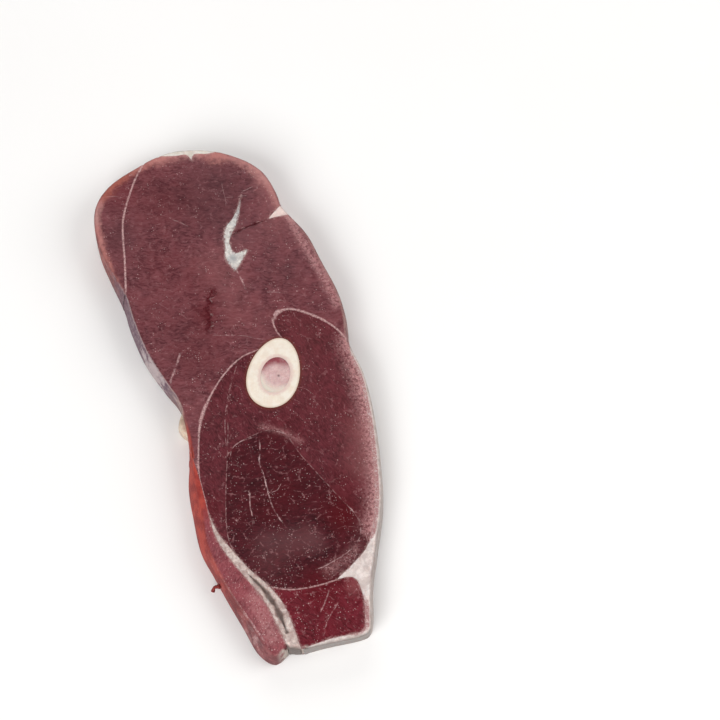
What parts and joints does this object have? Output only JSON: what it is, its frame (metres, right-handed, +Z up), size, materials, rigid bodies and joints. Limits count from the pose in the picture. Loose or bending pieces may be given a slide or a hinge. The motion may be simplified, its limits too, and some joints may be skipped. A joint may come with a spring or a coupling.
{
  "type": "raw lamb leg chop",
  "caption": "Raw bone-in lamb leg chop: a long flat slice of red meat with a round marrow bone, a fat edge, muscle seams and an open groove in the fat.",
  "frame": {"origin": "middle of the footprint's box, on the lower cut face that the chop lies on", "axes": "+Z up, out of the upper cut face; +Y along the chop from the shank end to the rump end; +X towards the fat edge"},
  "size_m": [0.081, 0.1988, 0.016],
  "materials": {
    "lean_rump": "moist raw meat, brownish red, satin",
    "lean_dark": "moist raw meat, dark red, satin with small wet glints",
    "lean_end": "moist raw meat, bright dark red, satin",
    "lean_flank": "moist raw meat, pink red, smooth",
    "fat": "waxy cream fat, soft sheen",
    "bone": "sawn bone, ivory white, smooth",
    "marrow": "pale pink marrow, soft and moist"
  },
  "bodies": {
    "root": {"lean_cap": "lean_rump", "lean_rump": "lean_rump", "lean_side": "lean_rump", "lean_thigh": "lean_dark", "lean_strip": "lean_dark", "lean_eye": "lean_dark", "lean_end": "lean_end", "lean_flank": "lean_flank", "fat_far": "fat", "fat_notch": "fat", "fat_star": "fat", "fat_edge": "fat", "fat_seam": "fat", "fat_tab": "fat", "bone": "bone", "marrow": "marrow"}
  },
  "joints": []
}
